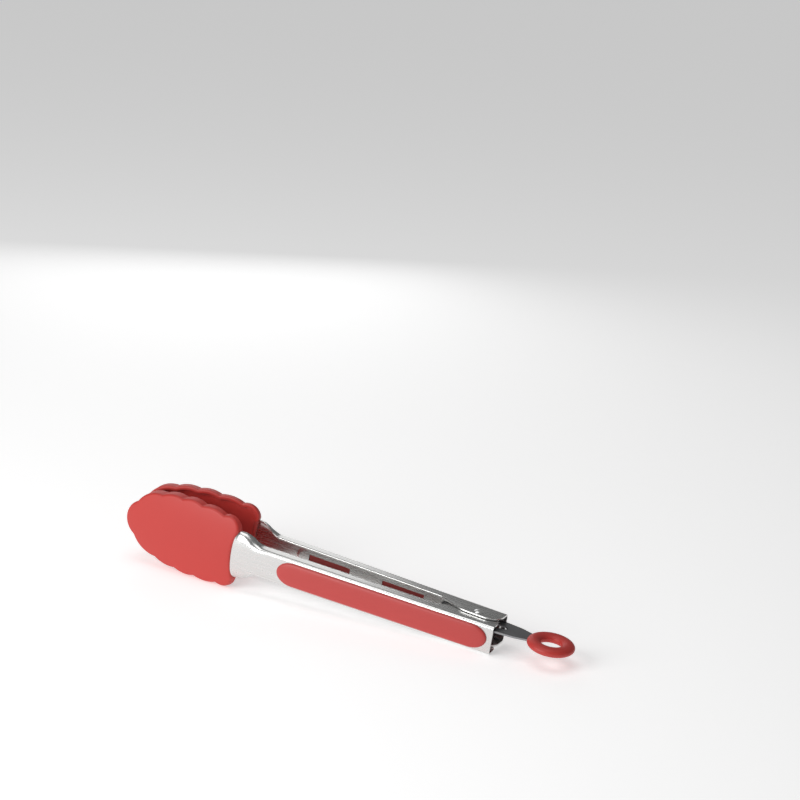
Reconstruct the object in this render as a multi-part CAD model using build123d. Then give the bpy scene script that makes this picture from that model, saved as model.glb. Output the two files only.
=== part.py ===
"""Spring loaded kitchen tongs with a pull-out lock tab, lying on their side, closed and locked.

All sizes are in millimetres. The working frame has the pivot's axis on Z, the jaws towards -X,
the hanging ring towards +X, the rear arm on the +Y side and the front arm on the -Y side. The
front arm, head and grip are the rear ones turned half a turn about X. The finished pieces are
moved at the end, so that the origin is the middle of the underside of the whole object's box.
"""

import os
from math import asin, atan, cos, degrees, hypot, radians, sin, sqrt

from build123d import *

# ---- Overall ----
jaw_reach = 216.4  # pivot axis to the tip of the jaws
tail_reach = 13.2  # pivot axis to the hinge end of the arms
hinge_width = 20.8  # over both webs at the pivot
half_spread = 1.4  # degrees that each web leans outwards from the middle plane when closed
opening_angle = 23.2  # degrees between the closed and the open pose
tip_gap = 0.3  # between the two jaw tips when closed

# ---- Arms: one folded stainless strip each ----
sheet = 0.9
channel_height = 16.5  # over the flanges, at the hinge
neck_widening = 0.8  # how much wider than that the channel is just before the neck flares
flange_depth = 7.0  # web's outer face to the flange's free edge
bend_radius = 1.9  # outside radius of the folds
ear_depth = 14.2  # web's outer face to the ear's free edge
ear_slant_start = 23.6  # pivot axis to where the ear's slanted edge leaves the flange
ear_slant_end = 9.0  # pivot axis to where the slanted edge meets the ear's straight edge
ear_slant_round = 7.0  # radius between the slanted edge and the straight edge
ear_end_radius = 8.0  # rounding of the ear's corner at the hinge end
ear_gap = 0.3  # between the outer ear of one arm and the inner ear of the other
neck_length = 15.0  # length of the flare
neck_past_corner = 0.0542  # flare's end to the head's rear corners, towards the tip
neck_spread = 14.0  # half the width of the steel at the flare's end
neck_tail = 6.0  # length of flared flange buried in the head past that
neck_tail_spread = 1.6  # how much wider each side gets over that length
flange_step = 2.8  # how far the free edge climbs towards the web over the flare

# ---- Heads: silicone cups moulded over the steel spoon ----
rim_tilt = 7.0  # degrees between the head's rim and the middle plane when closed
head_length = 75.2  # tip to the rear corners, along the rim
# Notches between the scallops, from the tip: distance along the rim, half width there.
scallop_notches = [(6.4, 10.5), (22.2, 19.3), (36.0, 21.4), (49.3, 21.6), (64.0, 20.6)]
rear_half_width = 14.2  # half the width at the head's rear corners
tip_rise = 6.4  # bulge of the scallop at the tip
shoulder_rise = 2.6  # bulge of the first scallop on each side
side_rise = 1.4  # bulge of the other side scallops
corner_rise = 3.4  # bulge of the last scallop, which rounds the rear corner
rear_sag = 2.2  # how far the middle of the rear edge is set towards the tip
crown_height = 9.4  # greatest height of the outer face above the rim
crown_from_tip = 20.0  # where that is
cross_radius = 84.0  # radius of the outer face across the head
skin = 1.1  # silicone outside the steel
lining = 1.3  # silicone inside the steel
lip = 2.4  # thickness of the rim
spoon_inset = 3.0  # scalloped edge of the silicone to the edge of the steel inside
cup_mouth = 10.4  # half width of the cup where it opens into the channel
cup_mouth_start = 36.0  # where that opening starts, from the tip along the rim

# ---- Grips: soft pads moulded through windows in the webs ----
grip_to_neck = 11.0  # jaw end of the pad to where the flare starts
grip_back = 10.5  # pivot axis to the hinge end of the pad
grip_margin = 1.35  # long edge of the pad to the flanges' outer face
grip_end = 10.0  # length of the elliptical rounding at each end
grip_proud = 1.9  # above the web's outer face
grip_round = 1.3  # rounding of the pad's outer edge
recess = 0.4  # depth of the pressed seat in the web
recess_wall = 0.5  # steel round the seat on the inside of the web
window_length = 26.2
window_height = 5.0
window_pitch = 46.6
window_shift = 3.25  # middle window's centre to the pad's, towards the hinge
window_corner = 0.8

# ---- Pivot ----
rivet_radius = 1.5
running_gap = 0.05  # radial clearance of everything that turns on the rivet
rivet_head_radius = 2.5
rivet_head_height = 1.1
rivet_tail_radius = 2.4
rivet_tail_height = 0.9
head_seat_gap = 0.05  # rivet head to the ear under it
bush_radius = 3.0
bush_wall = 0.6  # where the slot runs on it
bush_end_gap = 0.2  # bush or spacer to the inner ears
slot_gap = 0.25  # slot of the tab to the bush, on each side
spacer_radius = 3.4
spacer_height = 1.35

# ---- Torsion spring ----
wire_radius = 0.6
coil_radius = 4.2  # middle of the wire
coil_turns = 6.5
coil_floor_gap = 0.5  # below the coil, to the bush's lower end
coil_gap = 0.1  # between neighbouring turns
leg_reach = 25.0  # pivot axis to the end of each leg
leg_gap = 0.3  # end of each leg to the inside of the web

# ---- Lock tab and hanging ring ----
tab_sheet = 1.0
tab_travel = 15.0  # how far the tab slides in as the arms open
tab_play = 0.3  # tab to the bush's shoulder and to the spacer
tab_inner_end = 8.0  # pivot axis to the tab's inner end
tab_inner_gap = 3.1  # tab to the seats inside the webs there, on each side
tab_chamfer = 4.0
wedge_start = 10.0  # pivot axis to where the wedge starts
wedge_gap = 0.9  # tab to the seats there, on each side
wedge_end = 24.0  # pivot axis to where the wedge ends
wedge_drop = 1.55  # how much narrower it is there, on each side
tab_neck = (31.0, 4.5)  # distance from the pivot and half width where the tab enters the ring
slot_inner_gap = 0.3  # bush to the slot's inner end when the tab is out
ring_centre = 43.2  # pivot axis to the ring's centre
ring_radius = 13.0
hole_radius = 5.6
ring_half_height = 2.5
ring_land = 0.2  # how far the ring's round section is cut back to a straight land
eye_inner = 7.9  # steel eye inside the ring
eye_outer = 10.9

# ---- Worked out from the values above ----
web_y = hinge_width / 2
web_inner = web_y - sheet
seat_inner = web_inner - recess
half_channel = channel_height / 2
neck_height = channel_height + neck_widening
half_neck = neck_height / 2
flange_edge = web_y - flange_depth
ear_edge = web_y - ear_depth
arm_shift = (sheet + ear_gap) / 2  # rear arm sits this much higher, front arm this much lower
inner_ear = half_channel - arm_shift - sheet  # underside of the inner of the two upper ears
outer_ear = half_channel + arm_shift
bush_bore = rivet_radius + running_gap
grip_height = channel_height - 2 * grip_margin
tab_level = inner_ear - bush_end_gap - spacer_height - tab_play - tab_sheet / 2
tab_floor = tab_level - tab_sheet / 2
tab_roof = tab_level + tab_sheet / 2
tab_inner_half = seat_inner - tab_inner_gap
tab_wide = (wedge_start, seat_inner - wedge_gap)
tab_wedge = (wedge_end, tab_wide[1] - wedge_drop)
slot_half = bush_bore + bush_wall + slot_gap
neck_radius = slot_half - slot_gap  # the bush where the slot runs on it
slot_point = tab_travel + sqrt(2) * slot_half  # its sloping sides clear the bush by slot_gap


def turned(x, y, angle):
    """The point (x, y) turned by an angle in degrees about the origin."""
    c, s = cos(radians(angle)), sin(radians(angle))
    return x * c - y * s, x * s + y * c


# The head's own frame: X from the tip along the rim, Y outwards from the rim, Z up.
tip_x, tip_y = turned(-jaw_reach, tip_gap / 2, half_spread)
head_tilt = rim_tilt + half_spread
neck_end = -tip_x - head_length * cos(radians(head_tilt)) + neck_past_corner
neck_start = neck_end - neck_length
grip_front = neck_start - grip_to_neck
window_middle = (grip_front - grip_back) / 2 - window_shift
HEAD_SEAT = Pos(tip_x, tip_y, 0) * Rot(0, 0, head_tilt)


def in_head_frame(x, y):
    """A point of the arm's frame, given in the head's own frame."""
    return turned(x - tip_x, y - tip_y, -head_tilt)


rear_along, rear_height = in_head_frame(-neck_end - rear_sag, web_y + skin)
crown_radius = ((rear_along - crown_from_tip) ** 2 / (crown_height - rear_height)) / 2


def bump(start, end, rise):
    """An arc from start to end in the head's X-Z plane, bulging to the left by rise."""
    along = (end[0] - start[0], end[1] - start[1])
    span = hypot(*along)
    middle = (
        (start[0] + end[0]) / 2 - along[1] / span * rise,
        (start[1] + end[1]) / 2 + along[0] / span * rise,
    )
    return ThreePointArc(*[(x, 0, z) for x, z in (start, middle, end)])


def scalloped_outline():
    """Face of the head's outline, seen square to its rim."""
    upper = scallop_notches + [(head_length, rear_half_width)]
    rises = [shoulder_rise] + [side_rise] * (len(upper) - 3) + [corner_rise]
    lower = [(x, -z) for x, z in upper]
    arcs = [bump(lower[0], upper[0], tip_rise)]
    arcs += [bump(a, b, r) for a, b, r in zip(upper, upper[1:], rises)]
    arcs += [bump(b, a, r) for a, b, r in zip(lower, lower[1:], rises)]
    arcs += [bump(upper[-1], lower[-1], -rear_sag)]
    return make_face(arcs)


def under_crown(sunk):
    """Solid below the head's crowned outer face, with that face sunk by a depth."""
    radius, cross = crown_radius - sunk, cross_radius - sunk
    half = 30.0
    edge = radius - cross + sqrt(cross**2 - half**2)
    floor = radius - 30.0
    section = make_face(
        [
            Line((floor, 0, -half), (edge, 0, -half)),
            ThreePointArc((edge, 0, -half), (radius, 0, 0), (edge, 0, half)),
            Line((edge, 0, half), (floor, 0, half)),
            Line((floor, 0, half), (floor, 0, -half)),
        ]
    )
    sweep_angle = degrees(2 * 110.0 / crown_radius)
    barrel = Rot(0, 0, 90 - sweep_angle / 2) * revolve(section, Axis.Z, sweep_angle)
    return Pos(crown_from_tip, crown_height - crown_radius, 0) * barrel


def upright(face, height):
    """A face in the X-Z plane pulled along +Y."""
    return extrude(face, height, dir=(0, 1, 0))


def hollow():
    """The room inside the head, open towards the jaws' middle and into the channel."""
    mouth_length = head_length - cup_mouth_start + 10.0
    mouth = Box(mouth_length, crown_height + 5, 2 * cup_mouth, align=(Align.MIN, Align.MIN, Align.CENTER))
    floor = under_crown(skin + sheet + lining)
    cup = upright(offset(scalloped_outline(), -lip), crown_height + 5) & floor
    return cup + (Pos(cup_mouth_start, 0, 0) * mouth & floor)


def silicone_blank():
    """The head without its hollow and without room for the steel, in the arm's frame."""
    body = upright(scalloped_outline(), crown_height + 5) & under_crown(0)
    return HEAD_SEAT * (body - hollow())


def spoon():
    """The dished steel plate inside the head, in the arm's frame."""
    plate = upright(offset(scalloped_outline(), -spoon_inset), crown_height + 5)
    plate &= under_crown(skin) - under_crown(skin + sheet)
    return HEAD_SEAT * plate


def side_view(inset):
    """Face of the channel and its flare, seen square to the web."""
    top = half_channel - inset
    neck = half_neck - inset
    wide = neck_spread - inset
    last = -neck_end - neck_tail
    right = tail_reach + (1.0 if inset else 0.0)
    flat = -ear_slant_start
    edges = []
    for side in (1, -1):
        edges += [
            Line((right, 0, side * top), (flat, 0, side * top)),
            Line((flat, 0, side * top), (-neck_start, 0, side * neck)),
            Spline(
                [(-neck_start, 0, side * neck), (-neck_end, 0, side * wide)],
                tangents=[(-1, 0, 0), (-1, 0, side * neck_tail_spread / neck_tail)],
            ),
            Line((-neck_end, 0, side * wide), (last, 0, side * (wide + neck_tail_spread))),
        ]
    edges += [Line((right, 0, top), (right, 0, -top))]
    end = wide + neck_tail_spread
    edges += [Line((last, 0, end), (last, 0, -end))]
    return make_face(edges)


def folded(inset, low, high, radius):
    """The side view pulled from low to high along Y, with its long edges at high rounded."""
    block = Pos(0, low, 0) * upright(side_view(inset), high - low)
    lip_edges = block.edges().filter_by_position(Axis.Y, high - 0.01, high + 0.01)
    long_edges = [e for e in lip_edges if abs(e.tangent_at(0.5).Z) < 0.95]
    return fillet(long_edges, radius)


def free_edge_cut():
    """What is trimmed off the flanges where the free edge climbs at the flare."""
    high = flange_edge + flange_step
    last = -neck_end - neck_tail - 5.0
    slope = Polyline(
        (-neck_start, flange_edge - 5, 0),
        (-neck_start, flange_edge, 0),
        (-neck_end, high, 0),
        (last, high, 0),
        (last, flange_edge - 5, 0),
        close=True,
    )
    return extrude(make_face(slope), 60, both=True)


def ear_outline():
    """Face of one ear, from its slanted edge to the hinge end."""
    straight_end = tail_reach - ear_end_radius
    corner = (tail_reach, ear_edge + ear_end_radius)
    arc_middle = (
        straight_end + ear_end_radius * sin(radians(45)),
        ear_edge + ear_end_radius * (1 - cos(radians(45))),
    )
    slant = FilletPolyline(
        (-ear_slant_start, flange_edge),
        (-ear_slant_end, ear_edge),
        (straight_end, ear_edge),
        radius=ear_slant_round,
    )
    back = web_y - bend_radius
    rest = [
        ThreePointArc((straight_end, ear_edge), arc_middle, corner),
        Line(corner, (tail_reach, back)),
        Line((tail_reach, back), (-ear_slant_start, back)),
        Line((-ear_slant_start, back), (-ear_slant_start, flange_edge)),
    ]
    return make_face(slant.edges() + rest)


def pad_outline(grow):
    """Face of the grip's outline, grown all round, in the X-Z plane."""
    half = grip_height / 2 + grow
    ends = grip_end + grow
    front, back = -grip_front + grip_end, grip_back - grip_end
    plan = make_face(
        [
            Line((front, half), (back, half)),
            EllipticalCenterArc((back, 0), ends, half, -90, arc_size=180),
            Line((back, -half), (front, -half)),
            EllipticalCenterArc((front, 0), ends, half, 90, arc_size=180),
        ]
    )
    return Rot(90, 0, 0) * plan


def windows(low, high):
    """The three window openings through the web, from low to high along Y."""
    shape = Rot(90, 0, 0) * RectangleRounded(window_length, window_height, window_corner)
    places = [-window_middle + step * window_pitch for step in (-1, 0, 1)]
    return [Pos(x, low, 0) * upright(shape, high - low) for x in places]


def arm():
    """The folded steel arm with its ears, neck and spoon, in the arm's frame."""
    outer = folded(0, flange_edge, web_y, bend_radius)
    inner = folded(sheet, flange_edge - 1, web_inner, bend_radius - sheet)
    channel = outer - inner - free_edge_cut()
    visible = channel & Box(2 * neck_end, 60, 60)
    buried = (channel - visible) & (HEAD_SEAT * under_crown(skin))
    body = visible + buried + spoon()
    for side in (1, -1):
        level = side * (half_channel - sheet / 2)
        body += Pos(0, 0, level - sheet / 2) * extrude(ear_outline(), sheet)
    seat = Pos(0, seat_inner, 0) * upright(pad_outline(recess_wall), recess + sheet / 2)
    body += seat & Box(2 * jaw_reach, 60, channel_height - sheet)
    body -= Pos(0, web_y - recess, 0) * upright(pad_outline(0), recess + 1)
    for opening in windows(seat_inner - 1, web_y + 1):
        body -= opening
    body -= Cylinder(bush_bore, channel_height + 2)
    return body


def grip():
    """The soft pad with its plugs, in the arm's frame."""
    floor = web_y - recess
    pad = Pos(0, floor, 0) * upright(pad_outline(0), recess + grip_proud)
    top = pad.edges().filter_by_position(Axis.Y, web_y + grip_proud - 0.01, web_y + grip_proud + 0.01)
    pad = fillet(top, grip_round)
    for plug in windows(seat_inner, floor):
        pad += plug
    return pad


def rivet():
    """Rivet with a domed head on top and a formed head underneath."""
    top = outer_ear + head_seat_gap
    shank = Cylinder(rivet_radius, 2 * top)
    dome_radius = (rivet_head_radius**2 + rivet_head_height**2) / (2 * rivet_head_height)
    dome = Pos(0, 0, top + rivet_head_height - dome_radius) * Sphere(dome_radius)
    head = dome & Pos(0, 0, top + dome_radius) * Cylinder(3 * rivet_head_radius, 2 * dome_radius)
    tail = Pos(0, 0, -top - rivet_tail_height / 2) * Cylinder(rivet_tail_radius, rivet_tail_height)
    low_edge = tail.edges().sort_by(Axis.Z)[0]
    return shank + head + fillet(low_edge, rivet_tail_height / 2)


def stepped_bush():
    """Spacer tube on the rivet, with a shoulder under the tab."""
    low = -inner_ear + bush_end_gap
    shoulder = tab_floor - tab_play
    neck_top = tab_roof + tab_play
    tube = Pos(0, 0, (low + shoulder) / 2) * Cylinder(bush_radius, shoulder - low)
    tube += Pos(0, 0, (shoulder + neck_top) / 2) * Cylinder(neck_radius, neck_top - shoulder)
    return tube - Cylinder(bush_bore, channel_height)


def spacer():
    """Washer between the tab and the upper ears."""
    low, high = tab_roof + tab_play, inner_ear - bush_end_gap
    ring = Pos(0, 0, (low + high) / 2) * Cylinder(spacer_radius, high - low)
    return ring - Cylinder(bush_bore, channel_height)


def spring_leg(level, side):
    """One straight leg, from the side of the coil to the inside of a web."""
    end_x, end_y = turned(-leg_reach, seat_inner - leg_gap - wire_radius, -half_spread)
    reach = hypot(end_x, end_y)
    lean = atan(end_y / -end_x) - asin(coil_radius / reach)
    start = (coil_radius * sin(lean), side * coil_radius * cos(lean), level)
    end = (end_x, side * end_y, level)
    line = Line(start, end)
    return sweep(line.location_at(0) * Circle(wire_radius), path=line), start


def torsion_spring():
    """Coil round the bush with a leg to each web."""
    pitch = 2 * wire_radius + coil_gap
    height = coil_turns * pitch
    low = -inner_ear + bush_end_gap + wire_radius + coil_floor_gap
    lower_leg, start = spring_leg(low, -1)
    upper_leg, _ = spring_leg(low + height, 1)
    begin = degrees(asin(start[0] / coil_radius)) - 90
    helix = Pos(0, 0, low) * Rot(0, 0, begin) * Helix(pitch, height, coil_radius)
    coil = sweep(helix.location_at(0) * Circle(wire_radius), path=helix, is_frenet=True)
    joints = [Pos(*helix.position_at(end)) * Sphere(wire_radius) for end in (0, 1)]
    return coil + lower_leg + upper_leg + joints[0] + joints[1]


def mirrored_outline(points):
    """Face with a list of upper points and their mirror images below X."""
    lower = [(x, -y) for x, y in reversed(points) if y > 0]
    return make_face(Polyline(*points, *lower, close=True))


def lock_tab():
    """Flat wedge that slides between the arms, with a slot round the bush and an eye."""
    sides = [
        (-tab_inner_end, tab_inner_half),
        (-tab_inner_end + tab_chamfer, tab_wide[1] - 0.2),
        tab_wide,
        tab_wedge,
        tab_neck,
        (ring_centre - eye_inner, tab_neck[1]),
    ]
    slot_start = -neck_radius - slot_inner_gap
    rim = [(slot_start, slot_half), (slot_point - slot_half, slot_half), (slot_point, 0)]
    slot = mirrored_outline(rim)
    plate = mirrored_outline(sides)
    eye = Pos(ring_centre, 0) * Circle(eye_outer)
    hole = Pos(ring_centre, 0) * Circle(eye_inner)
    return Pos(0, 0, tab_floor) * extrude(plate + eye - hole - slot, tab_sheet)


def ring_pull():
    """Soft ring moulded over the tab's eye."""
    half_width = (ring_radius - hole_radius + ring_land) / 2
    middle = ring_radius - half_width
    section = Plane.XZ * Pos(middle, 0) * Ellipse(half_width, ring_half_height)
    ring = Rot(0, 0, 180) * revolve(section, Axis.Z, 360)  # seam where the tab enters
    ring -= Cylinder(hole_radius, 4 * ring_half_height)
    return Pos(ring_centre, 0, tab_level) * ring - lock_tab()


def on_rear(shape):
    """A piece of the arm's frame placed on the rear arm, closed."""
    return Pos(0, 0, arm_shift) * Rot(0, 0, -half_spread) * shape


def on_front(shape):
    """The same piece placed on the front arm: the rear one turned half a turn about X."""
    return Rot(180, 0, 0) * on_rear(shape)


def build():
    """All pieces by node name, in the working frame."""
    steel = arm()
    head = silicone_blank() - steel
    pad = grip()
    return {
        "front_arm": on_front(steel),
        "rear_arm": on_rear(steel),
        "front_head": on_front(head),
        "rear_head": on_rear(head),
        "front_grip": on_front(pad),
        "rear_grip": on_rear(pad),
        "pivot_rivet": rivet(),
        "pivot_bush": stepped_bush(),
        "tab_spacer": spacer(),
        "torsion_spring": torsion_spring(),
        "lock_tab": lock_tab(),
        "ring_pull": ring_pull(),
    }


pieces = build()
whole = Compound(children=[Compound(children=p.solids()) for p in pieces.values()]).bounding_box()
origin = Vector((whole.min.X + whole.max.X) / 2, (whole.min.Y + whole.max.Y) / 2, whole.min.Z)
print("origin of the finished model in the working frame", origin)
os.makedirs("parts", exist_ok=True)
for name, piece in pieces.items():
    placed = Pos(-origin.X, -origin.Y, -origin.Z) * Compound(children=list(piece.solids()))
    export_step(placed, f"parts/{name}.step")
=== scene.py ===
import logging
import math
from collections.abc import Callable, Iterable
from dataclasses import dataclass
from enum import Enum

import bmesh
import bpy
from mathutils import Matrix, Vector


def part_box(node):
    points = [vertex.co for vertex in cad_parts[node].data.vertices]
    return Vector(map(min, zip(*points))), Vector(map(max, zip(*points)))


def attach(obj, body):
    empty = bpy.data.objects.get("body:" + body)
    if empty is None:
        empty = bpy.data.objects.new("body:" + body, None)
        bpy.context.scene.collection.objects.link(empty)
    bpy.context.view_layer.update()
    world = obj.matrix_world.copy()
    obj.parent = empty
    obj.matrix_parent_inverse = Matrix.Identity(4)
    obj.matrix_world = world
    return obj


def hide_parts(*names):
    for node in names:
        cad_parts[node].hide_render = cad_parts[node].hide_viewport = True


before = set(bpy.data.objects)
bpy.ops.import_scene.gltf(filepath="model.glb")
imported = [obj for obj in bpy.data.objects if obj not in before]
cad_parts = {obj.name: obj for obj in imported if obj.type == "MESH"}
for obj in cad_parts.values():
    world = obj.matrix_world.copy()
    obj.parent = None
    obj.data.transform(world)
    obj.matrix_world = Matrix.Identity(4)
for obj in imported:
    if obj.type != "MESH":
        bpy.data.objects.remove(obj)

log = logging.getLogger("tongs")
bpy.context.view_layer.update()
MM = 0.001


class Side(Enum):
    """The two arms: the sign is the side of the middle plane that the arm lies on."""

    FRONT = -1
    REAR = 1

    @property
    def word(self) -> str:
        """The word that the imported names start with."""
        return self.name.lower()

    @property
    def body(self) -> str:
        """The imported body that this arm's pieces ride on."""
        return f"{self.word}_arm"


@dataclass(frozen=True)
class Hinge:
    """Sizes that every piece round the pivot shares, in millimetres.

    The pivot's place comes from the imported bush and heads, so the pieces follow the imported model.
    """

    web: float = 10.4
    sheet: float = 0.9
    recess: float = 0.4
    spread: float = math.radians(1.4)
    stagger: float = 0.6
    jaw_reach: float = 216.4
    tip_gap: float = 0.3
    rim_tilt: float = math.radians(7.0)

    def pivot(self) -> Vector:
        """Where the pivot's axis crosses the middle of the hinge.

        Returns:
            The point in metres, in the row frame.
        """
        low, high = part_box("pivot_bush")
        level = (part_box("front_head")[0].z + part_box("rear_head")[1].z) / 2
        return Vector(((low.x + high.x) / 2, (low.y + high.y) / 2, level))

    def place(self, side: Side) -> Matrix:
        """Takes the rear arm's own frame, in millimetres, to the row frame in metres.

        Args:
            side: Which arm the piece belongs to.

        Returns:
            The placing matrix. The front arm is the rear one turned half a turn about X.
        """
        rear = Matrix.Translation((0, 0, self.stagger)) @ Matrix.Rotation(-self.spread, 4, "Z")
        if side is Side.FRONT:
            rear = Matrix.Rotation(math.pi, 4, "X") @ rear
        return self.working() @ rear

    def working(self) -> Matrix:
        """Takes the frame round the pivot, in millimetres, to the row frame in metres."""
        return Matrix.Translation(self.pivot()) @ Matrix.Scale(MM, 4)

    def head_seat(self) -> Matrix:
        """Takes the head's frame to its arm's frame: X from the tip, Y outwards, Z up."""
        turn = Matrix.Rotation(self.spread, 4, "Z")
        tip = turn @ Vector((-self.jaw_reach, self.tip_gap / 2, 0))
        tilt = Matrix.Rotation(self.rim_tilt + self.spread, 4, "Z")
        return Matrix.Translation(tip) @ tilt


HINGE = Hinge()


class Mesher:
    """Short steps in bmesh that the pieces share."""

    @staticmethod
    def ring(bm: bmesh.types.BMesh, points: Iterable[Vector]) -> list[bmesh.types.BMEdge]:
        """Adds one closed ring of edges.

        Args:
            bm: The mesh being built.
            points: The ring's corners in order.

        Returns:
            The ring's edges.
        """
        verts = [bm.verts.new(p) for p in points]
        return [bm.edges.new((a, b)) for a, b in zip(verts, verts[1:] + verts[:1])]

    @staticmethod
    def loft(
        bm: bmesh.types.BMesh,
        rings: list[list[Vector]],
        cap_start: bool = True,
        cap_end: bool = True,
        closed: bool = False,
    ) -> None:
        """Bridges rings of the same number of corners into one skin.

        Args:
            bm: The mesh being built.
            rings: The rings in order.
            cap_start: Whether the first ring is filled.
            cap_end: Whether the last ring is filled.
            closed: Whether the last ring joins the first.
        """
        loops = [Mesher.ring(bm, ring) for ring in rings]
        pairs = list(zip(loops, loops[1:])) + ([(loops[-1], loops[0])] if closed else [])
        for near, far in pairs:
            bmesh.ops.bridge_loops(bm, edges=near + far)
        for wanted, loop in ((cap_start, loops[0]), (cap_end, loops[-1])):
            if wanted and not closed:
                bmesh.ops.contextual_create(bm, geom=loop)

    @staticmethod
    def finish(
        name: str,
        bm: bmesh.types.BMesh,
        place: Matrix,
        material: bpy.types.Material,
        weld: float = 1e-4,
        flat_angle: float | None = 40.0,
    ) -> bpy.types.Object:
        """Places a mesh, turns its faces outwards and makes its object.

        Args:
            name: The piece's name.
            bm: The mesh, in the frame that place starts from. It is freed.
            place: Takes the mesh to the row frame.
            material: The piece's finish.
            weld: Corners nearer than this, in the mesh's own unit, become one.
            flat_angle: Edges that turn more than this many degrees stay sharp.

        Returns:
            The new object, at the origin, unturned and unscaled.
        """
        bmesh.ops.remove_doubles(bm, verts=bm.verts, dist=weld)
        bmesh.ops.transform(bm, matrix=place, verts=bm.verts)
        bmesh.ops.recalc_face_normals(bm, faces=bm.faces)
        if bm.calc_volume(signed=True) < 0.0:
            bmesh.ops.reverse_faces(bm, faces=bm.faces)
        for face in bm.faces:
            face.smooth = True
        if flat_angle is not None:
            for edge in bm.edges:
                if len(edge.link_faces) == 2:
                    edge.smooth = edge.calc_face_angle(0.0) < math.radians(flat_angle)
        mesh = bpy.data.meshes.new(name)
        bm.to_mesh(mesh)
        bm.free()
        mesh.materials.append(material)
        piece = bpy.data.objects.new(name, mesh)
        bpy.context.scene.collection.objects.link(piece)
        log.info("%s: %d faces", name, len(mesh.polygons))
        return piece


@dataclass(frozen=True)
class Finish:
    """One finish: a principled shader and the detail that modulates it."""

    name: str
    colour: tuple[float, float, float]
    rough: float
    metallic: float = 0.0

    def start(self) -> tuple[bpy.types.Material, bpy.types.Node, bpy.types.NodeTree]:
        """Makes the material with its constants on the shader's own sockets.

        Returns:
            The material, its shader and its node tree.
        """
        material = bpy.data.materials.new(self.name)
        material.use_nodes = True
        tree = material.node_tree
        shader = tree.nodes["Principled BSDF"]
        shader.inputs["Base Color"].default_value = (*self.colour, 1.0)
        shader.inputs["Roughness"].default_value = self.rough
        shader.inputs["Metallic"].default_value = self.metallic
        material.diffuse_color = (*self.colour, 1.0)
        return material, shader, tree


class DetailGroup:
    """The two shader node groups that the finishes share."""

    @staticmethod
    def sockets(
        tree: bpy.types.NodeTree, inputs: dict[str, float], outputs: dict[str, str]
    ) -> None:
        """Names a group's inputs and outputs.

        Args:
            tree: The group.
            inputs: Each float input's name and starting value.
            outputs: Each output's name and socket type.
        """
        for name, value in inputs.items():
            made = tree.interface.new_socket(name, in_out="INPUT", socket_type="NodeSocketFloat")
            made.default_value = value
        for name in ("Dark", "Light"):
            tree.interface.new_socket(name, in_out="INPUT", socket_type="NodeSocketColor")
        for name, kind in outputs.items():
            tree.interface.new_socket(name, in_out="OUTPUT", socket_type=kind)

    @staticmethod
    def build(name: str, stretch: tuple[float, float, float], detail: float) -> bpy.types.NodeTree:
        """A grain: noise in object space, drawn out along X by stretch.

        Args:
            name: The group's name.
            stretch: The noise's frequency along each axis, relative to Scale.
            detail: The noise's octaves.

        Returns:
            The group, with Color, Roughness and Height outputs.
        """
        tree = bpy.data.node_groups.new(name, "ShaderNodeTree")
        DetailGroup.sockets(
            tree,
            {"Scale": 1000.0, "Rough Low": 0.3, "Rough High": 0.4, "Blotch Scale": 60.0},
            {
                "Color": "NodeSocketColor",
                "Roughness": "NodeSocketFloat",
                "Height": "NodeSocketFloat",
            },
        )
        nodes, links = tree.nodes, tree.links
        given = nodes.new("NodeGroupInput")
        out = nodes.new("NodeGroupOutput")
        where = nodes.new("ShaderNodeTexCoord")
        mapping = nodes.new("ShaderNodeMapping")
        mapping.inputs["Scale"].default_value = stretch
        grain = nodes.new("ShaderNodeTexNoise")
        grain.inputs["Detail"].default_value = detail
        blotch = nodes.new("ShaderNodeTexNoise")
        blotch.inputs["Detail"].default_value = 3.0
        blend = nodes.new("ShaderNodeMath")
        blend.operation = "MULTIPLY_ADD"
        blend.inputs[1].default_value = 0.35
        half = nodes.new("ShaderNodeMath")
        half.operation = "MULTIPLY"
        half.inputs[1].default_value = 0.65
        shade = nodes.new("ShaderNodeMix")
        shade.data_type = "RGBA"
        span = nodes.new("ShaderNodeMapRange")
        links.new(where.outputs["Object"], mapping.inputs["Vector"])
        links.new(mapping.outputs["Vector"], grain.inputs["Vector"])
        links.new(given.outputs["Scale"], grain.inputs["Scale"])
        links.new(where.outputs["Object"], blotch.inputs["Vector"])
        links.new(given.outputs["Blotch Scale"], blotch.inputs["Scale"])
        links.new(grain.outputs["Fac"], half.inputs[0])
        links.new(blotch.outputs["Fac"], blend.inputs[0])
        links.new(half.outputs[0], blend.inputs[2])
        links.new(blend.outputs[0], shade.inputs["Factor"])
        links.new(given.outputs["Dark"], shade.inputs[6])
        links.new(given.outputs["Light"], shade.inputs[7])
        links.new(blend.outputs[0], span.inputs["Value"])
        span.inputs["From Min"].default_value = 0.3
        span.inputs["From Max"].default_value = 0.7
        links.new(given.outputs["Rough Low"], span.inputs["To Min"])
        links.new(given.outputs["Rough High"], span.inputs["To Max"])
        links.new(shade.outputs[2], out.inputs["Color"])
        links.new(span.outputs[0], out.inputs["Roughness"])
        links.new(grain.outputs["Fac"], out.inputs["Height"])
        return tree


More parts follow.
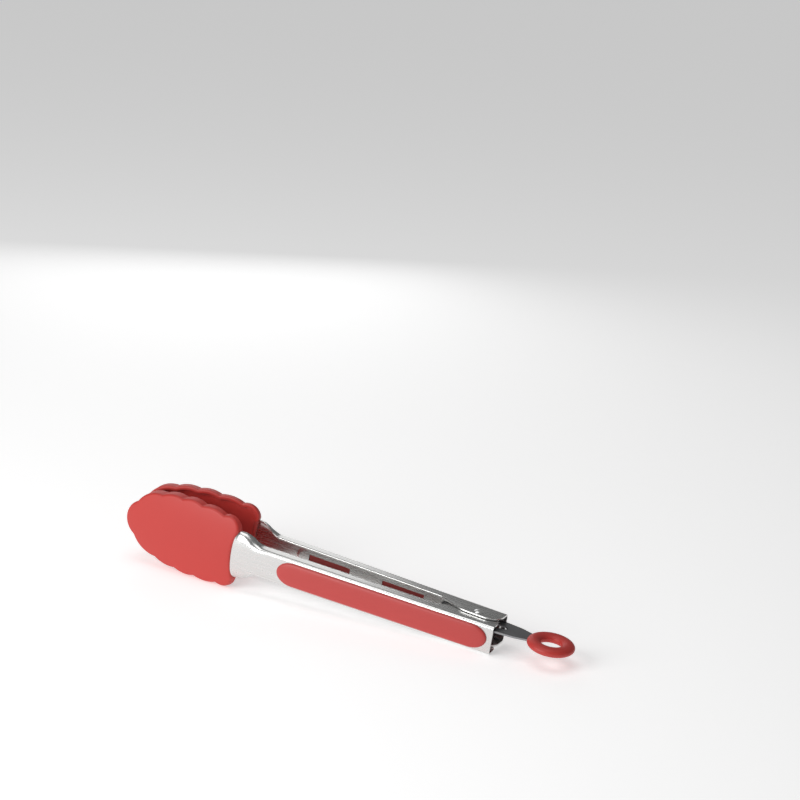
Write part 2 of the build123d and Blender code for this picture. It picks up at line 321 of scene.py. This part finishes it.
@dataclass(frozen=True)
class Grained(Finish):
    """A finish whose colour, gloss and surface vary with one of the shared grains."""

    light: tuple[float, float, float] = (1.0, 1.0, 1.0)
    rough_span: float = 0.1
    scale: float = 1000.0
    blotch: float = 60.0
    relief: float = 0.00002
    strength: float = 0.3

    def make(self, group: bpy.types.NodeTree) -> bpy.types.Material:
        """Builds the material.

        Args:
            group: The shared grain.

        Returns:
            The material.
        """
        material, shader, tree = self.start()
        grain = tree.nodes.new("ShaderNodeGroup")
        grain.node_tree = group
        grain.inputs["Scale"].default_value = self.scale
        grain.inputs["Blotch Scale"].default_value = self.blotch
        grain.inputs["Rough Low"].default_value = self.rough - self.rough_span / 2
        grain.inputs["Rough High"].default_value = self.rough + self.rough_span / 2
        grain.inputs["Dark"].default_value = (*self.colour, 1.0)
        grain.inputs["Light"].default_value = (*self.light, 1.0)
        bump = tree.nodes.new("ShaderNodeBump")
        bump.inputs["Strength"].default_value = self.strength
        bump.inputs["Distance"].default_value = self.relief
        tree.links.new(grain.outputs["Color"], shader.inputs["Base Color"])
        tree.links.new(grain.outputs["Roughness"], shader.inputs["Roughness"])
        tree.links.new(grain.outputs["Height"], bump.inputs["Height"])
        tree.links.new(bump.outputs["Normal"], shader.inputs["Normal"])
        return material


class Finishes:
    """Every finish of the tongs, made once."""

    def __init__(self) -> None:
        """Builds the shared grains and the materials."""
        brushed = DetailGroup.build("brushed_grain", (0.03, 1.0, 1.0), 4.0)
        moulded = DetailGroup.build("moulded_grain", (1.0, 1.0, 1.0), 2.0)
        self.steel = Grained(
            "satin_steel", (0.64, 0.64, 0.63), 0.27, 1.0, (0.76, 0.76, 0.75), 0.07, 1600.0, 25.0,
            0.0000015, 0.12,
        ).make(brushed)
        self.dark_steel = Grained(
            "tab_steel", (0.27, 0.27, 0.28), 0.34, 1.0, (0.37, 0.37, 0.38), 0.10, 1600.0, 40.0,
            0.0000015, 0.12,
        ).make(brushed)
        self.wire = Grained(
            "spring_wire", (0.018, 0.018, 0.018), 0.34, 0.3, (0.045, 0.045, 0.045), 0.12,
            1500.0, 60.0,
        ).make(brushed)
        self.black = Grained(
            "black_bush", (0.006, 0.006, 0.006), 0.55, 0.0, (0.012, 0.012, 0.012), 0.1, 1500.0, 60.0
        ).make(moulded)
        self.rivet = Grained(
            "rivet_steel", (0.84, 0.84, 0.84), 0.30, 1.0, (0.94, 0.94, 0.93), 0.06, 1200.0, 80.0
        ).make(moulded)
        self.silicone = Grained(
            "red_silicone", (0.50, 0.034, 0.028), 0.48, 0.0, (0.58, 0.050, 0.040), 0.12,
            2500.0, 45.0,
        ).make(moulded)
        self.pad = Grained(
            "red_grip", (0.48, 0.045, 0.042), 0.44, 0.0, (0.56, 0.065, 0.058), 0.12, 2500.0, 45.0
        ).make(moulded)
        # painted shade: the plugs are the same red silicone as the pad, darkened here to stand for
        # the shade inside the channel between the webs
        self.plug = Grained(
            "red_plug_painted_shade", (0.20, 0.014, 0.012), 0.60, 0.0, (0.26, 0.022, 0.018), 0.10, 2500.0, 45.0
        ).make(moulded)


def arc(start: Vector, end: Vector, rise: float, steps: int) -> list[Vector]:
    """Points on an arc in the X-Z plane, without its end.

    Args:
        start: The arc's first point, as X and Z.
        end: Its last point.
        rise: How far it bulges to the left of the way from start to end.
        steps: How many points it gives.

    Returns:
        The points as two-number vectors.
    """
    chord = end - start
    half = chord.length / 2
    left = Vector((-chord.y, chord.x)).normalized()
    radius = (half**2 + rise**2) / (2 * rise)
    centre = (start + end) / 2 + left * (rise - radius)
    spoke = start - centre
    turn = -2 * math.asin(half / abs(radius)) * (1 if rise > 0 else -1)
    if abs(rise) > half:
        turn = -(2 * math.pi - 2 * math.asin(half / abs(radius)))
    points = []
    for step in range(steps):
        angle = turn * step / steps
        c, s = math.cos(angle), math.sin(angle)
        points.append(centre + Vector((spoke.x * c - spoke.y * s, spoke.x * s + spoke.y * c)))
    return points


def inwards(points: list[Vector]) -> list[Vector]:
    """Unit directions into a closed outline that runs clockwise.

    Args:
        points: The outline's points.

    Returns:
        One direction for each point.
    """
    count = len(points)
    found = []
    for i in range(count):
        along = (points[(i + 1) % count] - points[i - 1]).normalized()
        found.append(Vector((along.y, -along.x)))
    return found


def eased(values: list[Vector], times: int) -> list[Vector]:
    """Rounds a closed list of vectors by averaging neighbours.

    Args:
        values: The vectors in order.
        times: How often they are averaged.

    Returns:
        The rounded vectors.
    """
    for _ in range(times):
        count = len(values)
        values = [
            (values[i - 1] + values[i] * 2 + values[(i + 1) % count]) / 4 for i in range(count)
        ]
    return values


@dataclass
class Head:
    """A scalloped silicone cup on the end of one arm, in millimetres."""

    side: Side
    notches: tuple[tuple[float, float], ...] = (
        (6.4, 10.5),
        (22.2, 19.3),
        (36.0, 21.4),
        (49.3, 21.6),
        (64.0, 20.6),
    )
    length: float = 75.2
    rear_half: float = 14.2
    tip_rise: float = 6.4
    rises: tuple[float, ...] = (2.6, 1.4, 1.4, 1.4, 3.4)
    rear_sag: float = 2.2
    crown: float = 9.4
    crown_from: float = 20.0
    crown_radius: float = 416.0
    cross_radius: float = 84.0
    thickness: float = 3.3
    lip: float = 2.4
    mouth: float = 10.4
    mouth_margin: float = 1.5
    mouth_side: float = 2.0
    mouth_from: float = 66.0
    mouth_ramp: float = 5.0
    ridge: tuple[float, float] = (20.0, 58.0)
    floor_inset: float = 6.0
    shoulder: float = 1.5
    draft: float = 0.5
    per_bump: int = 22

    def outline(self) -> list[Vector]:
        """The outline, from the lower side of the tip over the upper side to the rear."""
        upper = [Vector(n) for n in self.notches] + [Vector((self.length, self.rear_half))]
        lower = [Vector((p.x, -p.y)) for p in upper]
        points = arc(lower[0], upper[0], self.tip_rise, self.per_bump)
        for a, b, rise in zip(upper, upper[1:], self.rises):
            points += arc(a, b, rise, self.per_bump)
        points += arc(upper[-1], lower[-1], -self.rear_sag, self.per_bump)
        pairs = list(zip(lower, lower[1:], self.rises))
        for a, b, rise in reversed(pairs):
            points += arc(b, a, rise, self.per_bump)
        return points

    def height(self, at: Vector) -> float:
        """The outer face's height above the rim.

        Args:
            at: A point of the outline's plane.

        Returns:
            The height in millimetres.
        """
        along = (at.x - self.crown_from) ** 2 / (2 * self.crown_radius)
        return self.crown - along - at.y**2 / (2 * self.cross_radius)

    def rim(self, at: Vector) -> float:
        """How high the rim is: level, but lifted to the cup's floor where the channel opens.

        Args:
            at: A point of the outline's plane.

        Returns:
            The height in millimetres.
        """
        rear = min(max((at.x - self.mouth_from) / self.mouth_ramp, 0.0), 1.0)
        inside = min(max((self.mouth + self.mouth_margin - abs(at.y)) / self.mouth_side, 0.0), 1.0)
        share = rear * inside
        share = share * share * (3 - 2 * share)
        return share * max(self.height(at) - self.thickness, 0.0)

    def rings(self) -> list[list[Vector]]:
        """The skin's rings, from the middle of the cup's floor over the rim to the crown."""
        base = self.outline()
        into = eased(inwards(base), 1)
        low, high = self.ridge
        spine = [Vector((min(max(p.x, low), high), 0.0)) for p in base]
        rings: list[list[Vector]] = []

        def add(inset: float, level: Callable[[Vector], float]) -> None:
            """Adds a ring at an inset, each corner at the height that level gives."""
            flat = [p + d * inset for p, d in zip(base, into)]
            flat = eased(flat, int(inset))
            rings.append([Vector((p.x, level(p), p.y)) for p in flat])

        def add_towards_middle(
            inset: float, share: float, level: Callable[[Vector], float]
        ) -> None:
            """Adds a ring at an inset, drawn in to a share of its way from the ridge."""
            flat = [p + d * inset for p, d in zip(base, into)]
            flat = eased(flat, int(inset * 2) + int(20 * (1 - share)))
            flat = [s + (p - s) * share for p, s in zip(flat, spine)]
            rings.append([Vector((p.x, level(p), p.y)) for p in flat])

        def floor(p: Vector) -> float:
            """The height of the cup's floor."""
            return self.height(p) - self.thickness

        def rise(share: float) -> Callable[[Vector], float]:
            """A height at a share of the way from the rim to the floor."""
            return lambda p: self.rim(p) + share * (floor(p) - self.rim(p))

        for share in (0.0, 0.15, 0.3, 0.45, 0.6, 0.75, 0.9):
            add_towards_middle(self.floor_inset, share, floor)
        add(5.4, floor)
        add(self.lip + 1.6, lambda p: self.rim(p) + (floor(p) - self.rim(p)) * 0.97)
        add(self.lip + 0.8, lambda p: self.rim(p) + (floor(p) - self.rim(p)) * 0.86)
        add(self.lip + 0.25, rise(0.62))
        add(self.lip, rise(0.35))
        add(self.lip, lambda p: self.rim(p) + 0.6 * self.wall_share(p))
        add(self.lip - 0.2, lambda p: self.rim(p) + 0.22 * self.wall_share(p))
        add(self.lip - 0.6, lambda p: self.rim(p))
        add(0.7, lambda p: self.rim(p))
        add(0.25, lambda p: self.rim(p) + 0.2 * self.wall_share(p))
        add(0.03, lambda p: self.rim(p) + 0.7 * self.wall_share(p))
        add(0.1, lambda p: self.mix(p, 0.35))
        add(0.25, lambda p: self.mix(p, 0.7))
        for step in range(7):
            angle = math.radians(90 * step / 6)
            inset = self.draft * 0.5 + self.shoulder * (1 - math.cos(angle))
            drop = self.shoulder * (1 - math.sin(angle))
            add(inset, lambda p, drop=drop: max(self.height(p) - drop, self.rim(p) + 0.4))
        for share in (0.98, 0.88, 0.75, 0.6, 0.45, 0.3, 0.15, 0.0):
            add_towards_middle(self.floor_inset, share, self.height)
        return rings

    def wall_share(self, at: Vector) -> float:
        """How much of the rim's rounding fits under the outer face, from 0 to 1."""
        return min(max((self.height(at) - self.rim(at)) / 4.0, 0.0), 1.0)

    def mix(self, at: Vector, share: float) -> float:
        """A height between the rim and where the shoulder's rounding starts."""
        top = max(self.height(at) - self.shoulder, self.rim(at) + 0.4)
        return self.rim(at) + share * (top - self.rim(at))

    def build(self, finishes: Finishes) -> None:
        """Makes the head and gives it to its arm.

        Args:
            finishes: The tongs' finishes.
        """
        bm = bmesh.new()
        Mesher.loft(bm, self.rings(), cap_start=False, cap_end=False)
        place = HINGE.place(self.side) @ HINGE.head_seat()
        node = f"{self.side.word}_head"
        piece = Mesher.finish(f"{node}_silicone", bm, place, finishes.silicone, 1e-3, None)
        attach(piece, self.side.body)
        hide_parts(node)


@dataclass
class Arm:
    """One folded steel arm, lofted through U sections along its length, in millimetres."""

    side: Side
    edge: float = 3.4
    ear_edge: float = -3.8
    slant: tuple[tuple[float, float], tuple[float, float]] = ((-23.6, 3.4), (-9.0, -3.8))
    ear_round: float = 8.0
    tail: float = 13.2
    start: float = -146.0
    lip: float = 0.08
    windows: tuple[tuple[float, float], ...] = ((-109.2, -83.0), (-62.6, -36.4), (-16.0, 9.2))
    window_half: float = 2.5
    plateau: tuple[float, float, float] = (-117.0, 11.0, 7.3)
    plateau_end: float = 10.5
    plateau_depth: float = 8.0
    plateau_rise: float = 0.9
    edge_blends: tuple[float, float] = (0.6, 1.3)
    sinks: tuple[tuple[float, float, float], ...] = ((-127.0, 15.0, 2.8), (-142.6, 1.8, 2.6))
    neck_step: float = 0.8
    neck_count: int = 52
    middle_count: int = 14
    ear_from: float = -27.0
    ear_step: float = 0.6
    ear_count: int = 53
    turn_count: int = 18
    apart: float = 0.2
    heights: tuple[tuple[float, float], ...] = (
        (-146.0, 14.9),
        (-142.0, 14.05),
        (-138.6, 13.75),
        (-135.2, 12.4),
        (-131.8, 10.2),
        (-128.6, 8.9),
        (-125.0, 8.65),
        (-110.0, 8.58),
        (-66.8, 8.41),
        (-23.6, 8.25),
        (-10.0, 8.25),
        (13.2, 8.25),
    )
    creases: tuple[tuple[float, float], ...] = (
        (-146.0, 9.0),
        (-140.0, 7.6),
        (-135.0, 5.6),
        (-130.0, 3.4),
        (-125.0, 2.2),
        (-119.0, 1.9),
        (-60.0, 1.9),
        (13.2, 1.9),
    )

    @staticmethod
    def along(table: tuple[tuple[float, float], ...], x: float) -> float:
        """Reads a table of values with a smooth curve through its knots.

        Args:
            table: Places along X, rising, and the value at each.
            x: The place wanted.

        Returns:
            The value there.
        """
        last = len(table) - 2
        k = next((i for i in range(last) if x <= table[i + 1][0]), last)
        slopes = []
        for i in (k, k + 1):
            low, high = table[max(i - 1, 0)], table[min(i + 1, last + 1)]
            slopes.append((high[1] - low[1]) / (high[0] - low[0]))
        (x0, y0), (x1, y1) = table[k], table[k + 1]
        span = x1 - x0
        t = min(max((x - x0) / span, 0.0), 1.0)
        lead = (1 + 2 * t) * (1 - t) ** 2 * y0 + t * (1 - t) ** 2 * span * slopes[0]
        return lead + t * t * (3 - 2 * t) * y1 + t * t * (t - 1) * span * slopes[1]

    def free_edge(self, x: float) -> float:
        """Where the flange or ear ends.

        Args:
            x: The place along the arm.

        Returns:
            The free edge's Y.
        """
        (x0, y0), (x1, y1) = self.slant
        down = y0 + (x - x0) * (y1 - y0) / (x1 - x0)
        over, under = self.edge_blends
        edge = (down + self.edge - math.hypot(down - self.edge, over)) / 2
        edge = (edge + self.ear_edge + math.hypot(edge - self.ear_edge, under)) / 2
        turn = x - (self.tail - self.ear_round)
        if turn > 0:
            rest = math.sqrt(max(self.ear_round**2 - turn**2, 0.0))
            edge += self.ear_round - rest
        for first, run, rise in self.sinks:
            edge += rise * min(max((first - x) / run, 0.0), 1.0)
        return edge

    def raised(self, x: float, z: float) -> float:
        """How far the web's inside stands in, round the pad's seat.

        Args:
            x: The place along the arm.
            z: The place across it.

        Returns:
            The height in millimetres.
        """
        left, right, half = self.plateau
        ends = self.plateau_end
        reach = max(left + ends - x, x - right + ends, 0.0)
        depth = (1 - math.hypot(reach / ends, z / half)) * self.plateau_depth
        share = min(max(depth / self.plateau_rise, 0.0), 1.0)
        return HINGE.recess * share * share * (3 - 2 * share)

    def wall(self, x: float, inset: float) -> list[Vector]:
        """One side of the sheet's section, from the lower free edge round to the upper one.

        Args:
            x: The section's place along the arm.
            inset: Nought for the outside, the sheet's thickness for the inside.

        Returns:
            The points in order.
        """
        half = self.along(self.heights, x) - inset
        web = HINGE.web - inset
        edge = self.free_edge(x)
        crease = max(self.along(self.creases, x) - inset, 0.6)
        depth = min(crease, (web - edge) * 0.93)
        points = [(edge + self.lip, half)]
        points += [(edge + (web - depth - edge) * k / 4, half) for k in range(1, 4)]
        for k in range(9):
            angle = math.pi / 2 * k / 8
            y = web - depth + depth * math.sin(angle)
            points.append((y, half - crease + crease * math.cos(angle)))
        flat = half - crease
        drop = (flat - self.window_half) / 4
        points += [(web, flat - drop * k) for k in range(1, 5)]
        points += [(web, self.window_half * k / 4) for k in (3, 2, 1)]
        upper = [Vector((x, y, z)) for y, z in points]
        lower = [Vector((x, y, -z)) for y, z in points]
        ring = lower + [Vector((x, web, 0.0))] + upper[::-1]
        if inset:
            for p in ring:
                if p.y > web - 0.3:
                    p.y -= self.raised(x, p.z)
        return ring

    def section(self, x: float) -> list[Vector]:
        """The sheet's closed section with rounded free edges.

        Args:
            x: The section's place along the arm.

        Returns:
            The points in order.
        """
        outside = self.wall(x, 0.0)
        inside = self.wall(x, HINGE.sheet)
        half = abs(outside[0].z)
        edge = self.free_edge(x)
        ends = [(edge, half - self.lip), (edge, half - HINGE.sheet + self.lip)]
        top = [Vector((x, y, z)) for y, z in ends]
        bottom = [Vector((x, y, -z)) for y, z in reversed(ends)]
        return outside + top + inside[::-1] + bottom

    def stations(self) -> list[float]:
        """The places of the sections, closer together where the shape turns."""
        first = [self.start + self.neck_step * k for k in range(self.neck_count)]
        span = self.ear_from - first[-1]
        steps = range(1, self.middle_count + 1)
        middle = [first[-1] + span * k / self.middle_count for k in steps]
        ear = [self.ear_from + self.ear_step * k for k in range(1, self.ear_count + 1)]
        turn = self.tail - self.ear_round
        angles = [math.pi / 2 * k / self.turn_count for k in range(self.turn_count + 1)]
        last = [turn + self.ear_round * math.sin(angle) for angle in angles]
        plain = first + middle + [x for x in ear if x < turn - self.apart] + last
        ends = [x for window in self.windows for x in window]
        kept = [x for x in plain if all(abs(x - end) > self.apart for end in ends)]
        return sorted(kept + ends)

    def pierce(self, bm: bmesh.types.BMesh) -> None:
        """Opens the windows through both skins of the web and walls their sides.

        Args:
            bm: The lofted arm, in its own frame.
        """
        for low, high in self.windows:

            def inside(point: Vector, low: float = low, high: float = high) -> bool:
                """Whether a face's middle lies in the window, on either skin."""
                level = point.y > HINGE.web - 2 * HINGE.sheet
                return level and low < point.x < high and abs(point.z) < self.window_half

            doomed = [f for f in bm.faces if inside(f.calc_center_median())]
            bmesh.ops.delete(bm, geom=doomed, context="FACES")
            bmesh.ops.bridge_loops(bm, edges=[e for e in bm.edges if e.is_boundary])

    def build(self, finishes: Finishes) -> None:
        """Makes the arm and gives it to its body.

        Args:
            finishes: The tongs' finishes.
        """
        bm = bmesh.new()
        Mesher.loft(bm, [self.section(x) for x in self.stations()])
        bmesh.ops.triangulate(bm, faces=[f for f in bm.faces if len(f.verts) > 4])
        self.pierce(bm)
        node = f"{self.side.word}_arm"
        piece = Mesher.finish(
            f"{node}_steel", bm, HINGE.place(self.side), finishes.steel, 1e-4, 50.0
        )
        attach(piece, self.side.body)
        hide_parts(node)


@dataclass
class Grip:
    """The soft pad on one arm with its plugs, in millimetres."""

    side: Side
    front: float = 116.0
    back: float = 10.5
    height: float = 13.8
    end: float = 10.0
    proud: float = 1.9
    fit: float = 0.08
    window: tuple[float, float] = (26.2, 5.0)
    pitch: float = 46.6
    middle: float = 49.5
    plug_sunk: float = 0.35
    plug_fit: float = 0.1
    plug_corner: float = 0.8
    plug_edge: float = 0.25
    crown: float = 0.04
    crown_half: float = 0.05
    profile: tuple[tuple[float, float], ...] = (
        (0.0, 0.0),
        (0.0, 0.55),
        (0.06, 0.85),
        (0.26, 1.16),
        (0.62, 1.42),
        (1.15, 1.62),
        (2.0, 1.80),
        (3.2, 1.95),
        (4.6, 2.06),
    )

    def outline(self, inset: float) -> list[Vector]:
        """The pad's outline at an inset, as X and Z.

        Args:
            inset: Distance in from the pad's edge.

        Returns:
            The points in order.
        """
        half = self.height / 2 - inset
        ends = self.end - inset
        left, right = -self.front + self.end, self.back - self.end
        turns = [math.pi * k / 28 for k in range(29)]
        points = [Vector((right + ends * math.sin(a), half * math.cos(a))) for a in turns]
        points += [Vector((left - ends * math.sin(a), -half * math.cos(a))) for a in turns]
        return points

    def build(self, finishes: Finishes) -> None:
        """Makes the pad and its plugs and gives them to the arm.

        Args:
            finishes: The tongs' finishes.
        """
        floor = HINGE.web - HINGE.recess
        top = floor + HINGE.recess + self.proud
        scale = (top - floor) / self.profile[-1][1]
        bm = bmesh.new()
        rings = []
        for inset, rise in self.profile:
            level = floor + rise * scale
            rings.append([Vector((p.x, level, p.y)) for p in self.outline(inset + self.fit)])
        spine = self.outline(self.height / 2 - self.crown_half)
        rings.append([Vector((p.x, top + self.crown, p.y)) for p in spine])
        Mesher.loft(bm, rings)
        node = f"{self.side.word}_grip"
        pad = Mesher.finish(f"{node}_pad", bm, HINGE.place(self.side), finishes.pad, 1e-3, 50.0)
        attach(pad, self.side.body)
        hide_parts(node)
        for index in (-1, 0, 1):
            self.plug(index, finishes)

    def plug(self, index: int, finishes: Finishes) -> None:
        """Makes one plug, which fills a window and ends just below the web's inside.

        Args:
            index: Which window, counted from the middle one.
            finishes: The tongs' finishes.
        """
        low = HINGE.web - HINGE.sheet - HINGE.recess + self.plug_sunk
        high = HINGE.web - HINGE.recess
        bm = bmesh.new()
        bmesh.ops.create_cube(bm, size=1.0)
        long, wide = (edge - self.plug_fit for edge in self.window)
        size = Matrix.Diagonal((long, high - low, wide, 1.0))
        move = Matrix.Translation((-self.middle + index * self.pitch, (low + high) / 2, 0))
        bmesh.ops.transform(bm, matrix=move @ size, verts=bm.verts)
        upright = [e for e in bm.edges if abs((e.verts[0].co - e.verts[1].co).normalized().y) > 0.9]
        bmesh.ops.bevel(
            bm, geom=upright, offset=self.plug_corner, segments=5, profile=0.5,
            affect="EDGES", material=-1,
        )
        inner = [e for e in bm.edges if all(abs(v.co.y - low) < 1e-4 for v in e.verts)]
        bmesh.ops.bevel(
            bm, geom=inner, offset=self.plug_edge, segments=3, profile=0.5,
            affect="EDGES", material=-1,
        )
        name = f"{self.side.word}_grip_plug_{index + 2}"
        plug = Mesher.finish(name, bm, HINGE.place(self.side), finishes.plug)
        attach(plug, self.side.body)


@dataclass
class PullRing:
    """The soft ring moulded over the lock tab's eye, in millimetres."""

    centre: float = 43.2
    radius: float = 13.0
    hole: float = 5.6
    half_height: float = 2.5
    level: float = 4.4
    land: float = 0.2
    steps: int = 96

    def build(self, finishes: Finishes) -> None:
        """Spins the ring's section and gives the ring to the lock.

        Args:
            finishes: The tongs' finishes.
        """
        half = (self.radius - self.hole + self.land) / 2
        bm = bmesh.new()
        bmesh.ops.create_circle(bm, cap_ends=False, segments=40, radius=1.0)
        shape = (
            Matrix.Translation((self.radius - half, 0, 0))
            @ Matrix.Rotation(math.pi / 2, 4, "X")
            @ Matrix.Diagonal((half, self.half_height, 1.0, 1.0))
        )
        bmesh.ops.transform(bm, matrix=shape, verts=bm.verts)
        for vert in bm.verts:
            vert.co.x = max(vert.co.x, self.hole)
        bmesh.ops.spin(
            bm,
            geom=bm.verts[:] + bm.edges[:],
            cent=(0, 0, 0),
            axis=(0, 0, 1),
            angle=2 * math.pi,
            steps=self.steps,
            use_merge=True,
        )
        move = Matrix.Translation((self.centre, 0, self.level))
        place = HINGE.working() @ move
        ring = Mesher.finish("pull_ring_silicone", bm, place, finishes.silicone, 1e-3, None)
        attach(ring, "lock")
        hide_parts("ring_pull")


@dataclass
class Spring:
    """The torsion spring: its coil turns with the tab's guide and a leg stays with each arm."""

    wire: float = 0.6
    coil: float = 4.2
    turns: float = 6.5
    gap: float = 0.1
    low: float = -5.45
    reach: float = 25.0
    leg_gap: float = 0.3

    def sweep(
        self, name: str, points: list[Vector], body: str, finishes: Finishes
    ) -> bpy.types.Object:
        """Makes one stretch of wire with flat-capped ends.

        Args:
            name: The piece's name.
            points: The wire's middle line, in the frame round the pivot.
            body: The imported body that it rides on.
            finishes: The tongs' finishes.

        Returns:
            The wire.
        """
        rings = []
        count = len(points)
        for i, point in enumerate(points):
            ahead, behind = points[min(i + 1, count - 1)], points[max(i - 1, 0)]
            along = (ahead - behind).normalized()
            across = along.cross(Vector((0, 0, 1))).normalized()
            up = across.cross(along)
            turns = [2 * math.pi * k / 14 for k in range(14)]
            rings.append(
                [point + (across * math.cos(a) + up * math.sin(a)) * self.wire for a in turns]
            )
        bm = bmesh.new()
        Mesher.loft(bm, rings)
        wire = Mesher.finish(name, bm, HINGE.working(), finishes.wire, 1e-4, 50.0)
        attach(wire, body)
        return wire

    def build(self, finishes: Finishes) -> None:
        """Makes the coil and both legs.

        Args:
            finishes: The tongs' finishes.
        """
        height = self.turns * (2 * self.wire + self.gap)
        end = Matrix.Rotation(-HINGE.spread, 3, "Z") @ Vector(
            (-self.reach, HINGE.web - HINGE.sheet - HINGE.recess - self.leg_gap - self.wire, 0)
        )
        lean = math.atan(end.y / -end.x) - math.asin(self.coil / end.length)
        start = Vector((self.coil * math.sin(lean), self.coil * math.cos(lean), 0))
        begin = math.atan2(-start.y, start.x)
        steps = int(self.turns * 36)
        coil = []
        for i in range(steps + 1):
            angle = begin + 2 * math.pi * self.turns * i / steps
            level = self.low + height * i / steps
            coil.append(Vector((self.coil * math.cos(angle), self.coil * math.sin(angle), level)))
        wound = self.sweep("spring_coil", coil, "tab_guide", finishes)
        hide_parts("torsion_spring")
        for side, level in ((Side.FRONT, self.low), (Side.REAR, self.low + height)):
            first = Vector((start.x, start.y * side.value, level))
            last = Vector((end.x, end.y * side.value, level))
            line = [first.lerp(last, k / 6) for k in range(7)]
            self.sweep(f"spring_leg_{side.word}", line, side.body, finishes)


@dataclass
class Rivet:
    """The pivot rivet: a low dome with a rim on top, the shank, and the formed end below."""

    steps: int = 64
    profile: tuple[tuple[float, float], ...] = (
        (0.05, -9.80),
        (1.60, -9.78),
        (2.10, -9.66),
        (2.34, -9.40),
        (2.40, -9.10),
        (2.40, -8.92),
        (1.50, -8.90),
        (1.50, 8.90),
        (2.42, 8.90),
        (2.50, 8.97),
        (2.50, 9.16),
        (2.40, 9.32),
        (2.16, 9.50),
        (1.75, 9.72),
        (1.25, 9.88),
        (0.70, 9.97),
        (0.05, 10.0),
    )

    def build(self, finishes: Finishes) -> None:
        """Turns the profile round the pivot and gives the rivet to the front arm.

        Args:
            finishes: The tongs' finishes.
        """
        turns = [2 * math.pi * k / self.steps for k in range(self.steps)]
        rings = [
            [Vector((radius * math.cos(a), radius * math.sin(a), level)) for a in turns]
            for radius, level in self.profile
        ]
        bm = bmesh.new()
        Mesher.loft(bm, rings)
        rivet = Mesher.finish("rivet_turned", bm, HINGE.working(), finishes.rivet, 1e-3, 50.0)
        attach(rivet, "front_arm")
        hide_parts("pivot_rivet")


class CarriedOver:
    """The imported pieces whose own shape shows, with better finishes."""

    def build(self, finishes: Finishes) -> None:
        """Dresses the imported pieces.

        Args:
            finishes: The tongs' finishes.
        """
        dressed = {
            "pivot_bush": finishes.black,
            "tab_spacer": finishes.black,
            "lock_tab": finishes.dark_steel,
        }
        for node, material in dressed.items():
            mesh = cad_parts[node].data
            mesh.materials.clear()
            mesh.materials.append(material)
            log.info("%s: dressed", node)


@dataclass
class Studio:
    """The floor, the lights and the camera."""

    eye: tuple[float, float, float] = (336.06, -962.04, 459.33)
    right: tuple[float, float, float] = (0.89042, 0.42769, 0.1557)
    down: tuple[float, float, float] = (0.27174, -0.22513, -0.93567)
    ahead: tuple[float, float, float] = (-0.36512, 0.87544, -0.31668)
    lens: float = 92.99
    head_edge: tuple[float, float] = (-160.2, -23.1)
    hinge_edge: tuple[float, float] = (13.4, -8.88)
    floor_reach: float = 9000.0
    floor_sunk: float = 0.05
    floor_glow: float = 0.42
    sky: float = 0.17
    aim: tuple[float, float, float] = (-0.02, 0.0, 0.02)
    lights: tuple[tuple[str, tuple[float, float, float], float, float], ...] = (
        ("key", (-0.42, -0.80, 0.42), 0.6, 5.9),
        ("card", (-0.46, 0.62, 0.27), 0.45, 0.65),
        ("top", (-0.25, -0.1, 1.2), 0.8, 3.2),
    )

    def camera(self) -> None:
        """Sets the camera."""
        data = bpy.data.cameras.new("camera")
        data.sensor_width = 36.0
        data.lens = self.lens
        data.clip_end = 20.0
        camera = bpy.data.objects.new("camera", data)
        bpy.context.scene.collection.objects.link(camera)
        columns = (Vector(self.right), -Vector(self.down), -Vector(self.ahead))
        turn = Matrix(columns).transposed().to_4x4()
        camera.matrix_world = Matrix.Translation(HINGE.working() @ Vector(self.eye)) @ turn
        bpy.context.scene.camera = camera

    def floor(self, material: bpy.types.Material) -> None:
        """Lays a plain floor under the heads' edges and the hinge end.

        Args:
            material: The floor's finish.
        """
        slope = (self.hinge_edge[1] - self.head_edge[1]) / (self.hinge_edge[0] - self.head_edge[0])
        bm = bmesh.new()
        bmesh.ops.create_grid(bm, x_segments=1, y_segments=1, size=self.floor_reach)
        move = Matrix.Translation((self.head_edge[0], 0, self.head_edge[1] - self.floor_sunk))
        tilt = Matrix.Rotation(-math.atan(slope), 4, "Y")
        place = HINGE.working() @ move @ tilt
        floor = Mesher.finish("floor", bm, place, material)

    def light(self, name: str, place: Vector, size: float, watts: float) -> None:
        """Hangs one soft square light.

        Args:
            name: The light's name.
            place: Where it is, in metres.
            size: Its edge in metres.
            watts: Its power.
        """
        data = bpy.data.lights.new(name, "AREA")
        data.shape = "SQUARE"
        data.size = size
        data.energy = watts
        lamp = bpy.data.objects.new(name, data)
        bpy.context.scene.collection.objects.link(lamp)
        lamp.location = place
        lamp.rotation_euler = (Vector(self.aim) - place).to_track_quat("-Z", "Y").to_euler()

    def build(self) -> None:
        """Sets up the studio."""
        self.camera()
        plain, shader, _ = Finish("plain_floor", (0.88, 0.88, 0.88), 0.9).start()
        shader.inputs["Emission Color"].default_value = (1.0, 1.0, 1.0, 1.0)
        shader.inputs["Emission Strength"].default_value = self.floor_glow
        self.floor(plain)
        world = bpy.data.worlds.new("studio")
        world.use_nodes = True
        backdrop = world.node_tree.nodes["Background"]
        backdrop.inputs["Color"].default_value = (1.0, 1.0, 1.0, 1.0)
        backdrop.inputs["Strength"].default_value = self.sky
        bpy.context.scene.world = world
        bpy.context.scene.view_settings.view_transform = "Standard"
        for name, place, size, watts in self.lights:
            self.light(name, Vector(place), size, watts)


def main() -> None:
    """Builds every piece in order."""
    logging.basicConfig(level=logging.INFO, format="%(name)s %(message)s")
    finishes = Finishes()
    CarriedOver().build(finishes)
    for side in Side:
        Arm(side).build(finishes)
        Head(side).build(finishes)
        Grip(side).build(finishes)
    PullRing().build(finishes)
    Rivet().build(finishes)
    Spring().build(finishes)
    Studio().build()


if __name__ == "__main__":
    main()
